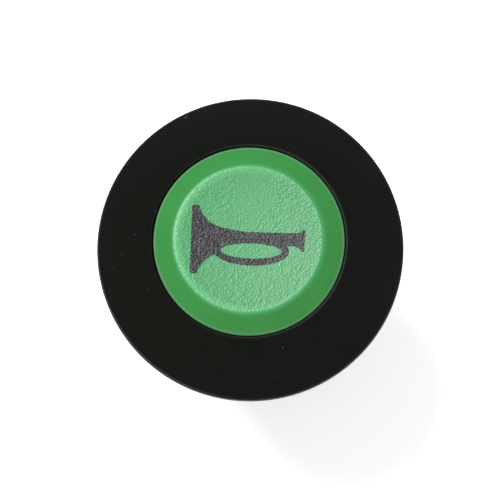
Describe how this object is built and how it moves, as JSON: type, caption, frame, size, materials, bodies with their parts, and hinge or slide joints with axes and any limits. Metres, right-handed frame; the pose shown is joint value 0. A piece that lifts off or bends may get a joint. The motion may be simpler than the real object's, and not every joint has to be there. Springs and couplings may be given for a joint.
{
  "type": "horn push button",
  "caption": "Round panel-mounted horn push button: domed black bezel, dished green cap with trumpet symbol, threaded barrel, ring nut and flat terminals.",
  "frame": {"origin": "centre of the panel seat: the gasket's flat face that lies on the panel's front", "axes": "+Z out of the panel along the barrel, towards the finger; +Y up along the panel, the top of the symbol; +X to the right"},
  "size_m": [0.04, 0.04, 0.0488],
  "materials": {
    "black_bezel": "satin moulded black, very fine grain",
    "black_housing": "matt moulded black",
    "black_rubber": "matt rubber",
    "green_plastic": "satin green moulding, grained finger face",
    "dark_ink": "matt dark print",
    "white_acetal": "natural white moulding",
    "grey_block": "matt dark grey moulding",
    "zinc_steel": "bright zinc plated",
    "spring_steel": "drawn wire",
    "brass": "stamped strip",
    "silver": "polished silver"
  },
  "bodies": {
    "housing": {"bezel_ring": "black_bezel", "barrel_housing": "black_housing", "flange_gasket": "black_rubber", "lip_seal": "black_rubber", "ring_nut": "black_housing", "lock_washer": "zinc_steel", "guide_bush": "brass", "guide_pins": "zinc_steel", "return_spring": "spring_steel", "fixed_contact_tips": "silver", "terminal_left": "brass", "terminal_right": "brass", "contact_base": "grey_block", "terminal_seal": "black_rubber", "rear_cover": "grey_block", "cover_screws": "zinc_steel"},
    "push_cap": {"push_cap": "green_plastic", "horn_symbol": "dark_ink", "plunger_stem": "white_acetal", "stem_clip": "zinc_steel", "contact_carrier": "white_acetal", "contact_spring": "spring_steel"},
    "contact_bridge": {"contact_bridge": "brass", "bridge_contact_tips": "silver"}
  },
  "joints": [
    {"name": "button_press", "type": "slide", "parent": "housing", "child": "push_cap", "axis": [0, 0, -1], "range_m": [0, 0.0028], "stiffness_N_per_m": 1500, "springref_m": -0.003, "deforming": ["return_spring", "contact_spring"]},
    {"name": "bridge_travel", "type": "slide", "parent": "housing", "child": "contact_bridge", "axis": [0, 0, -1], "range_m": [0, 0.0018]}
  ],
  "couplings": [
    {"joint": "bridge_travel", "follows": "button_press", "ratio": 0.64286}
  ]
}
